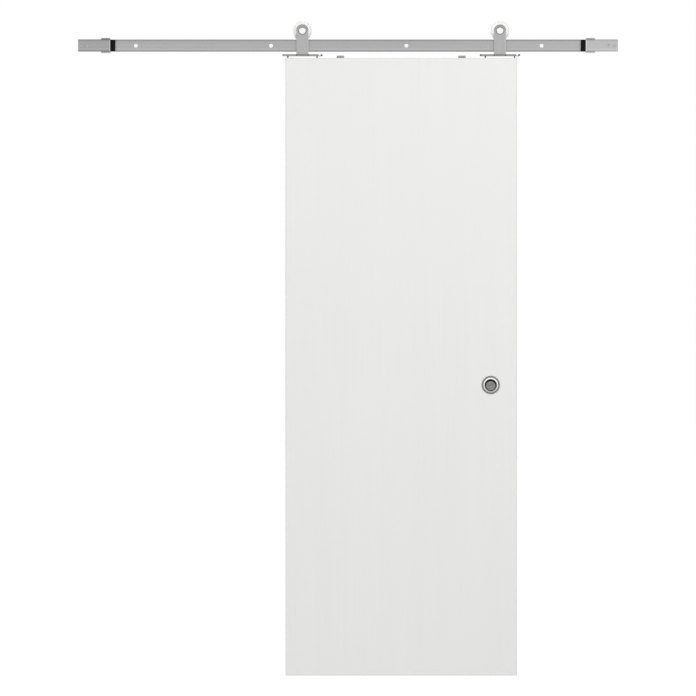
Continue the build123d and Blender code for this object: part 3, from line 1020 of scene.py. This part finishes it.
class SLIDINGDOOR_OT_rail(Operator):
    """Finish the rail and make its spacers and wall bolts"""

    bl_idname = "sliding_door.rail"
    bl_label = "Rail, spacers and wall bolts"

    def execute(self, context):
        colours = finishes()
        low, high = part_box("rail_bar")
        finish_node("rail_bar", flat_bar_steel("rail_bar_steel", colours.steel, low.z, high.z))
        places, _ = row("wall_bolts", 4)
        height = (low.z + high.z) / 2
        self.spacers(places, height)
        self.bolts(places, height, low.y)
        return {"FINISHED"}

    def spacers(self, places, height):
        """Turned sleeves between the rail and the wall, each with a shallow waist."""
        low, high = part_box("rail_spacers")
        radius = (high.z - low.z) / 2
        length = high.y - low.y
        bore = 4 * MM + SLIP
        waist = radius - 0.8 * MM
        profile = [
            (bore, 0),
            (radius, 0),
            (radius, length * 0.22),
            (waist, length * 0.27),
            (waist, length * 0.73),
            (radius, length * 0.78),
            (radius, length),
            (bore, length),
        ]
        part = bmesh.new()
        for x in places:
            ring = turned(profile, 0.5 * MM, 3, closed=True)
            merge(part, moved(ring, at(x, low.y, height)))
        centre = (places[0], 0, height)
        steel = turned_steel("spacer_turned_steel", finishes().steel, centre, 20.0)
        to_object(part, "rail_spacer_sleeves", "track", steel, ["rail_spacers"])

    def bolts(self, places, height, rail_face):
        """Button-head bolts: a polished head, a smooth shank and a coarse wood thread."""
        low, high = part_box("wall_bolts")
        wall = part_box("rail_spacers")[1].y
        pitch = sizes().thread_pitch
        head_radius, socket = 7 * MM, 5 * MM
        crest, root = 4 * MM, 2.9 * MM
        point, point_radius = 6 * MM, 0.4 * MM
        smooth = wall - rail_face
        part = bmesh.new()
        for x in places:
            head = button_head(head_radius, rail_face - low.y, socket, crest - 0.1 * MM)
            merge(part, moved(head, at(x, rail_face, height)))
            shank = turned([(0, 0), (crest, 0), (crest, smooth), (0, smooth)])
            merge(part, moved(shank, at(x, rail_face, height)))
            screw = thread(root, crest, pitch, high.y - wall - point)
            merge(part, moved(screw, at(x, wall, height)))
            tip = turned([(0, 0), (root, 0), (point_radius, point), (0, point)], steps=40)
            merge(part, moved(tip, at(x, high.y - point, height)))
        steel = polished_steel("bolt_polished_steel", finishes().polished)
        to_object(part, "rail_wall_bolts", "track", steel, ["wall_bolts"])


class SLIDINGDOOR_OT_stops(Operator):
    """Make the end stops, their screws and their rubber buffers"""

    bl_idname = "sliding_door.stops"
    bl_label = "End stops"

    def execute(self, context):
        colours = finishes()
        low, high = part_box("rail_bar")
        rubber = moulded_rubber("buffer_rubber", colours.rubber)
        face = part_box("left_stop_screws")[0].y
        bright = sunk_screw_steel("stop_screw_steel", shade(colours.polished, 0.92), face)
        # painted light: the left stop is a darker copy of the steel and the right stop a lighter
        # one, with weaker painted edge shade on the right
        for side, tone, edge_shade in (("left", 0.88, 1.0), ("right", 1.10, 0.45)):
            body_low, body_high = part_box(f"{side}_stop_body")
            claw = body_high.x if side == "left" else body_low.x
            colour = shade(colours.steel, tone)
            steel = flat_bar_steel(
                f"{side}_stop_brushed_steel", colour, low.z, high.z, claw, edge_shade
            )
            self.body(side, steel)
            self.buffer(side, rubber)
            self.screws(side, bright)
        return {"FINISHED"}

    def body(self, side, steel):
        """An arm over the rail's end with a taller claw that hooks round the rail."""
        low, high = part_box(f"{side}_stop_body")
        rail_low, rail_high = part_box("rail_bar")
        places, screw_radius = row(f"{side}_stop_screws", 2)
        depth = rail_low.y - low.y
        part = bmesh.new()
        outline(part, corners((low.x, high.x), (rail_low.z, rail_high.z)), 0.6 * MM, 3)
        height = (rail_low.z + rail_high.z) / 2
        for x in places:
            hole(part, x, height, screw_radius + SLIP)
        arm = slab(part, depth, sizes().edge_round)
        whole = bmesh.new()
        merge(whole, moved(moved(arm, FACING), at(0, rail_low.y, 0)))
        self.claw(whole, side, low, high, rail_low, rail_high)
        node = f"{side}_stop_body"
        to_object(whole, f"{side}_stop_block", "track", steel, [node])

    def claw(self, whole, side, low, high, rail_low, rail_high):
        """Two hooks that wrap the rail's top and bottom edges."""
        if side == "left":
            span = (high.x - CLAW_LENGTH, high.x)
        else:
            span = (low.x, low.x + CLAW_LENGTH)
        front = low.y + CLAW_SET_BACK
        lip = high.z - rail_high.z
        for edge, outward in ((rail_high.z, 1), (rail_low.z, -1)):
            self.bar(whole, span, (front, high.y), sorted((edge, edge + outward * lip)))
            self.bar(whole, span, (rail_high.y, high.y), sorted((edge - outward * lip, edge)))

    def bar(self, whole, x_span, y_span, z_span):
        """A bar along X with rounded edges."""
        low, high = (Vector(ends) for ends in zip(x_span, y_span, z_span))
        part = block(low, high)
        round_off(part, list(part.edges), 0.5 * MM)
        merge(whole, close_up(part))

    def buffer(self, side, rubber):
        """A rubber pad with rounded edges, on a spigot."""
        node = f"{side}_stop_buffer"
        low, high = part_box(node)
        body_low, body_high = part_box(f"{side}_stop_body")
        if side == "left":
            back, face, turn = body_high.x, high.x, 90
        else:
            back, face, turn = body_low.x, low.x, -90
        x_low, x_high = sorted((back, face))
        part = block(Vector((x_low, low.y, low.z)), Vector((x_high, high.y, high.z)))
        along = [e for e in part.edges if abs(e.verts[0].co.x - e.verts[1].co.x) > 1e-6]
        round_off(part, along, 2.5 * MM, 5)
        round_off(part, edges_at(part, "x", face), 1.5 * MM, 4)
        radius, reach = 5 * MM, 9 * MM
        spigot = turned([(0, 0), (radius, 0), (radius, reach), (0, reach)], 0.6 * MM)
        moved(spigot, Matrix.Rotation(math.radians(turn), 4, "Z"))
        merge(part, moved(spigot, at(back, (low.y + high.y) / 2, (low.z + high.z) / 2)))
        to_object(part, f"{side}_rubber_buffer", "track", rubber, [node])

    def screws(self, side, steel):
        """Cap screws sunk in the arm."""
        node = f"{side}_stop_screws"
        low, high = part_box(node)
        places, radius = row(node, 2)
        height = (low.z + high.z) / 2
        head, socket = 5 * MM, 4 * MM
        crest, root, pitch = 2.5 * MM, 2 * MM, 0.8 * MM
        seat = low.y + head
        part = bmesh.new()
        for x in places:
            cap = button_head(radius, head, socket, crest - 0.1 * MM)
            merge(part, moved(cap, at(x, seat, height)))
            merge(part, moved(thread(root, crest, pitch, high.y - seat), at(x, seat, height)))
        to_object(part, f"{side}_stop_cap_screws", "track", steel, [node])


class SLIDINGDOOR_OT_hangers(Operator):
    """Make the straps, foot plates, foot screws and axle bolts"""

    bl_idname = "sliding_door.hangers"
    bl_label = "Roller hangers"

    def execute(self, context):
        colours = finishes()
        bright = polished_steel("axle_polished_steel", colours.polished)
        zinc = plated_steel("zinc_plated_steel", colours.plated)
        dark = plated_steel("foot_screw_steel", shade(colours.plated, 0.75))
        brass = plated_steel("insert_turned_brass", colours.brass)
        for side in SIDES:
            self.strap(side, shade(colours.steel, 1.06))
            self.foot_plate(side, shade(colours.steel, 0.80))
            self.foot_screws(side, dark)
            self.axle(side, bright)
            self.nut(side, zinc)
            self.washer(side, zinc)
            finish_node(f"{side}_axle_sleeves", zinc)
            finish_node(f"{side}_threaded_inserts", brass)
        return {"FINISHED"}

    def strap(self, side, colour):
        """A flat strap with a round head, and two weld beads at its foot."""
        node = f"{side}_hanger_strap"
        low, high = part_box(node)
        radius = (high.x - low.x) / 2
        x = (low.x + high.x) / 2
        axle = high.z - radius
        steel = strap_steel(f"{side}_strap_brushed_steel", colour, (x, low.y, axle), radius)
        part = bmesh.new()
        crown = part.verts.new((high.x, axle, 0))
        bmesh.ops.spin(
            part,
            geom=[crown],
            cent=(x, axle, 0),
            axis=(0, 0, 1),
            angle=math.pi,
            steps=48,
        )
        part.verts.ensure_lookup_table()
        ends = sorted((v for v in part.verts if len(v.link_edges) == 1), key=lambda v: v.co.x)
        foot_left = part.verts.new((low.x, low.z, 0))
        foot_right = part.verts.new((high.x, low.z, 0))
        for pair in ((ends[0], foot_left), (foot_left, foot_right), (foot_right, ends[1])):
            part.edges.new(pair)
        hole(part, x, axle, 6 * MM + SLIP)
        body = slab(part, high.y - low.y, sizes().edge_round)
        whole = bmesh.new()
        merge(whole, moved(moved(body, FACING), at(0, high.y, 0)))
        self.weld(whole, (low.x, high.x), high.y, low.z)
        to_object(whole, f"{side}_strap", "door", steel, [node])

    def weld(self, whole, x_span, back, height):
        """A fillet weld behind the strap's foot, as overlapping beads."""
        pitch, radius = 2 * MM, 2.2 * MM
        first = x_span[0] + 3 * MM
        count = int((x_span[1] - x_span[0] - 4 * MM) / pitch)
        for n in range(count):
            bead = bmesh.new()
            bmesh.ops.create_uvsphere(bead, u_segments=12, v_segments=8, radius=radius)
            bmesh.ops.scale(bead, vec=(0.75, 1.0, 1.0), verts=bead.verts)
            place = at(first + n * pitch, back + 0.2 * MM, height + radius + 0.2 * MM)
            merge(whole, moved(bead, place))

    def foot_plate(self, side, colour):
        """The plate that carries the leaf, cut across near its right end down to a thin web."""
        node = f"{side}_foot_plate"
        low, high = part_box(node)
        screw_low, screw_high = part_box(f"{side}_foot_screws")
        screw_y = (screw_low.y + screw_high.y) / 2
        radius = (screw_high.y - screw_low.y) / 2
        tab, gap, web = 6.0 * MM, 6.0 * MM, 1.5 * MM
        reach = (high.x - low.x) / 2
        dark_end = {"left": 0.0, "right": 1.0}[side]
        steel = plate_steel(
            f"{side}_plate_brushed_steel", colour, low.x + reach, low.y, reach, dark_end
        )
        soft = sizes().edge_round * 0.6
        whole = bmesh.new()
        part = bmesh.new()
        spans = ((low.x, high.x - tab - gap), (high.x - tab, high.x))
        outline(part, corners(spans[0], (low.y, high.y)), 1.0 * MM, 4)
        for x in (screw_low.x + radius, screw_high.x - radius):
            hole(part, x, screw_y, radius + 0.1 * MM)
        merge(whole, slab(part, high.z - low.z, soft))
        part = bmesh.new()
        outline(part, corners(spans[1], (low.y, high.y)), 1.0 * MM, 4)
        merge(whole, slab(part, high.z - low.z, soft))
        part = bmesh.new()
        joined = (spans[0][1] - 1 * MM, spans[1][0] + 1 * MM)
        outline(part, corners(joined, (low.y + 0.1 * MM, high.y - 0.1 * MM)))
        merge(whole, slab(part, web, 0.2 * MM, 2))
        moved(whole, at(0, 0, low.z))
        to_object(whole, f"{side}_foot_bracket", "door", steel, [node])

    def foot_screws(self, side, steel):
        """Countersunk screws through the plate, with hexagon sockets and threaded shanks."""
        node = f"{side}_foot_screws"
        low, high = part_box(node)
        radius = (high.y - low.y) / 2
        y = (low.y + high.y) / 2
        head, socket = 2.8 * MM, 3 * MM
        crest, depth, pitch = 2.5 * MM, 0.45 * MM, 0.8 * MM
        part = bmesh.new()
        for x in (low.x + radius, high.x - radius):
            cone = countersunk_head(radius, head, socket, crest - 0.1 * MM)
            merge(part, self.upright(cone, x, y, high.z))
            shank = thread(crest - depth, crest, pitch, high.z - low.z - head, 24)
            merge(part, self.upright(shank, x, y, high.z - head))
        to_object(part, f"{side}_plate_screws", "door", steel, [node])

    def upright(self, part, x, y, height):
        """A piece made round the Y axis, stood so that +Y points down."""
        return moved(moved(part, Matrix.Rotation(math.radians(-90), 4, "X")), at(x, y, height))

    def axle(self, side, steel):
        """The axle bolt: polished head, smooth shank and a threaded tail."""
        node = f"{side}_axle_bolt"
        low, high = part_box(node)
        strap_low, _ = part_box(f"{side}_hanger_strap")
        x = (low.x + high.x) / 2
        z = (low.z + high.z) / 2
        radius = (high.x - low.x) / 2
        nut_low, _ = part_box(f"{side}_axle_nut")
        part = bmesh.new()
        smooth, crest, root, socket = 5.98 * MM, 5.9 * MM, 5.1 * MM, 8 * MM
        head = button_head(radius, strap_low.y - low.y, socket, crest)
        merge(part, moved(head, at(x, strap_low.y, z)))
        reach = nut_low.y - strap_low.y
        shank = turned([(0, 0), (smooth, 0), (smooth, reach), (0, reach)])
        merge(part, moved(shank, at(x, strap_low.y, z)))
        tail = thread(root, crest, sizes().axle_pitch, high.y - nut_low.y)
        merge(part, moved(tail, at(x, nut_low.y, z)))
        to_object(part, f"{side}_axle_screw", "door", steel, [node])

    def nut(self, side, steel):
        """The nut behind the wheel."""
        node = f"{side}_axle_nut"
        low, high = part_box(node)
        centre = middle(node)
        nut = hex_nut(high.z - low.z, high.y - low.y, 6 * MM)
        moved(nut, at(centre.x, low.y, centre.z))
        to_object(nut, f"{side}_hex_nut", "door", steel, [node])

    def washer(self, side, steel):
        """The washer under the nut."""
        node = f"{side}_axle_washer"
        low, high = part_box(node)
        centre = middle(node)
        radius, length, bore = (high.x - low.x) / 2, high.y - low.y, 6 * MM + SLIP
        profile = [(bore, 0), (radius, 0), (radius, length), (bore, length)]
        ring = turned(profile, 0.35 * MM, closed=True)
        moved(ring, at(centre.x, low.y, centre.z))
        to_object(ring, f"{side}_plain_washer", "door", steel, [node])


class SLIDINGDOOR_OT_wheels(Operator):
    """Make the grooved nylon wheels and finish their bearings"""

    bl_idname = "sliding_door.wheels"
    bl_label = "Wheels and bearings"

    def execute(self, context):
        colours = finishes()
        nylon = moulded_nylon("wheel_white_nylon", colours.nylon)
        cage = moulded_nylon("cage_natural_nylon", (0.62, 0.56, 0.40))
        for side in SIDES:
            centre = middle(f"{side}_wheel")
            bright = shade(colours.polished, 0.7)
            ground = turned_steel(f"{side}_bearing_ground_steel", bright, centre)
            self.wheel(side, nylon)
            for node in ("inner_race", "outer_race", "balls", "shields"):
                finish_node(f"{side}_bearing_{node}", ground)
            finish_node(f"{side}_retaining_ring", ground)
            finish_node(f"{side}_bearing_cage", cage)
        return {"FINISHED"}

    def wheel(self, side, nylon):
        """A grooved wheel, dished on both faces, with a bearing bore and a shoulder."""
        node = f"{side}_wheel"
        low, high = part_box(node)
        radius, half = (high.x - low.x) / 2, (high.y - low.y) / 2
        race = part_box(f"{side}_bearing_outer_race")
        race_half = (race[1].y - race[0].y) / 2
        bore = (race[1].x - race[0].x) / 2 + 0.02 * MM
        groove, groove_half, draft = radius - 5.0 * MM, 3.5 * MM, 1.2 * MM
        shoulder, hub, dish_end = 14 * MM, 19 * MM, 28 * MM
        dish = half - 3 * MM
        profile = [
            (bore, -half),
            (hub, -half),
            (hub + 3 * MM, -dish),
            (dish_end, -dish),
            (dish_end + 3 * MM, -half),
            (radius, -half),
            (radius, -groove_half - draft),
            (groove, -groove_half),
            (groove, groove_half),
            (radius, groove_half + draft),
            (radius, half),
            (dish_end + 3 * MM, half),
            (dish_end, dish),
            (hub + 3 * MM, dish),
            (hub, half),
            (shoulder, half),
            (shoulder, race_half),
            (bore, race_half),
        ]
        wheel = turned(profile, 0.7 * MM, 4, closed=True, steps=128)
        moved(wheel, at(*middle(node)))
        to_object(wheel, f"{side}_nylon_wheel", node, nylon, [node])


class SLIDINGDOOR_OT_leaf(Operator):
    """Make the leaf's painted faces and edges, and finish the frame inside it"""

    bl_idname = "sliding_door.leaf"
    bl_label = "Leaf"

    def execute(self, context):
        colours = finishes()
        low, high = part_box("leaf_left_edge_band")[0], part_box("leaf_right_edge_band")[1]
        paint = satin_paint("leaf_satin_paint", colours.paint, low, high)
        for name in ("front", "rear"):
            self.skin(name, paint)
        for side in SIDES:
            self.edge_band(side, paint)
            upright = planed_wood(f"{side}_stile_softwood", colours.softwood, "Z")
            finish_node(f"leaf_{side}_stile", upright)
        level = planed_wood("rail_softwood", colours.softwood, "X")
        finish_node("leaf_top_rail", level)
        finish_node("leaf_bottom_rail", level)
        finish_node("leaf_core", pressed_board("core_chipboard", (0.42, 0.30, 0.17)))
        return {"FINISHED"}

    def skin(self, name, paint):
        """A flat skin with soft arrises and a hole for the pull."""
        node = f"leaf_{name}_skin"
        low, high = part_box(node)
        pull = middle(f"{name}_pull_cup")
        part = bmesh.new()
        outline(part, corners((low.x, high.x), (low.z, high.z)))
        hole(part, pull.x, pull.z, PULL_BORE + 0.02 * MM, 96)
        skin = slab(part, high.y - low.y, 0.25 * MM, 2)
        moved(moved(skin, FACING), at(0, high.y, 0))
        to_object(skin, f"leaf_{name}_face", "door", paint, [node])

    def edge_band(self, side, paint):
        """A band on a side edge, rounded where it meets the faces."""
        node = f"leaf_{side}_edge_band"
        low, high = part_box(node)
        part = block(low, high)
        outer = low.x if side == "left" else high.x
        round_off(part, edges_at(part, "x", outer), sizes().leaf_arris, 4)
        to_object(close_up(part), f"leaf_{side}_edge", "door", paint, [node])


class SLIDINGDOOR_OT_pulls(Operator):
    """Make the round flush pulls"""

    bl_idname = "sliding_door.pulls"
    bl_label = "Flush pulls"

    def execute(self, context):
        for name, outward in (("front", -1), ("rear", 1)):
            self.cup(name, outward)
        return {"FINISHED"}

    def cup(self, name, outward):
        """A turned cup with a rolled rim, a bevelled ring and a round recess."""
        node = f"{name}_pull_cup"
        low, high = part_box(node)
        centre = middle(node)
        radius = (high.x - low.x) / 2
        rim_face = low.y if outward < 0 else high.y
        proud = 1.5 * MM
        profile = [
            (0, PULL_DEPTH),
            (PULL_BORE, PULL_DEPTH),
            (PULL_BORE, proud),
            (radius, proud),
            (radius, 0.5 * MM),
            (radius - 1.2 * MM, 0),
            (25.2 * MM, 0),
            (24.8 * MM, 0.35 * MM),
            (24.3 * MM, 0.35 * MM),
            (PULL_MOUTH, 1.3 * MM),
            (PULL_MOUTH - 0.5 * MM, 8.5 * MM),
            (17.5 * MM, 11.3 * MM),
            (0, 11.5 * MM),
        ]
        cup = turned(profile, 0.35 * MM, 3, steps=128)
        if outward > 0:
            moved(cup, Matrix.Rotation(math.pi, 4, "Z"))
        steel = pull_steel(f"{name}_pull_brushed_steel", finishes().pull, centre)
        moved(cup, at(centre.x, rim_face, centre.z))
        to_object(cup, f"{name}_flush_pull", "door", steel, [node])


class SLIDINGDOOR_OT_discs(Operator):
    """Make the fluted anti-lift discs and finish their screws"""

    bl_idname = "sliding_door.discs"
    bl_label = "Anti-lift discs"

    def execute(self, context):
        colours = finishes()
        steel = plated_steel("disc_plated_steel", colours.plated)
        for side in SIDES:
            self.disc(side, steel)
        dark = plated_steel("disc_screw_steel", shade(colours.plated, 0.7))
        finish_node("anti_lift_screws", dark)
        return {"FINISHED"}

    def disc(self, side, steel):
        """A round disc with an upright fluted edge."""
        node = f"{side}_anti_lift_disc"
        low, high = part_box(node)
        centre = middle(node)
        radius = (high.x - low.x) / 2
        flutes, steps, depth = 24, 4, 0.7 * MM
        part = bmesh.new()
        rim = bmesh.ops.create_circle(
            part, cap_ends=False, radius=radius, segments=flutes * steps
        )["verts"]
        for vert in rim[::steps]:
            vert.co *= 1 - depth / radius
        hole(part, 0, 0, 5 * MM + SLIP)
        disc = slab(part, high.z - low.z, 0.3 * MM, 2)
        moved(disc, at(centre.x, centre.y, low.z))
        to_object(disc, f"{side}_fluted_disc", "door", steel, [node], 25)


# ------------------------------------------------------------------ panel and registration

STEPS = (
    SLIDINGDOOR_OT_stage,
    SLIDINGDOOR_OT_rail,
    SLIDINGDOOR_OT_stops,
    SLIDINGDOOR_OT_hangers,
    SLIDINGDOOR_OT_wheels,
    SLIDINGDOOR_OT_leaf,
    SLIDINGDOOR_OT_pulls,
    SLIDINGDOOR_OT_discs,
)


class SLIDINGDOOR_PT_panel(Panel):
    """Lists the steps that build the set"""

    bl_label = "Sliding door"
    bl_space_type = "VIEW_3D"
    bl_region_type = "UI"
    bl_category = "Sliding door"

    def draw(self, context):
        layout = self.layout
        for step in STEPS:
            layout.operator(step.bl_idname)
        scene = context.scene
        for group in (scene.door_sizes, scene.door_finishes, scene.door_stage):
            box = layout.box()
            for key in group.bl_rna.properties.keys():
                if key not in ("rna_type", "name"):
                    box.prop(group, key)


CLASSES = (SetSizes, SetFinishes, SetStage, *STEPS, SLIDINGDOOR_PT_panel)


def register():
    """Adds the classes and the scene's settings."""
    for cls in CLASSES:
        bpy.utils.register_class(cls)
    bpy.types.Scene.door_sizes = PointerProperty(type=SetSizes)
    bpy.types.Scene.door_finishes = PointerProperty(type=SetFinishes)
    bpy.types.Scene.door_stage = PointerProperty(type=SetStage)


def unregister():
    """Takes the settings and the classes away."""
    del bpy.types.Scene.door_stage
    del bpy.types.Scene.door_finishes
    del bpy.types.Scene.door_sizes
    for cls in reversed(CLASSES):
        bpy.utils.unregister_class(cls)


def main():
    """Builds the whole set."""
    register()
    steps = bpy.ops.sliding_door
    steps.stage()
    steps.rail()
    steps.stops()
    steps.hangers()
    steps.wheels()
    steps.leaf()
    steps.pulls()
    steps.discs()


if __name__ == "__main__":
    main()
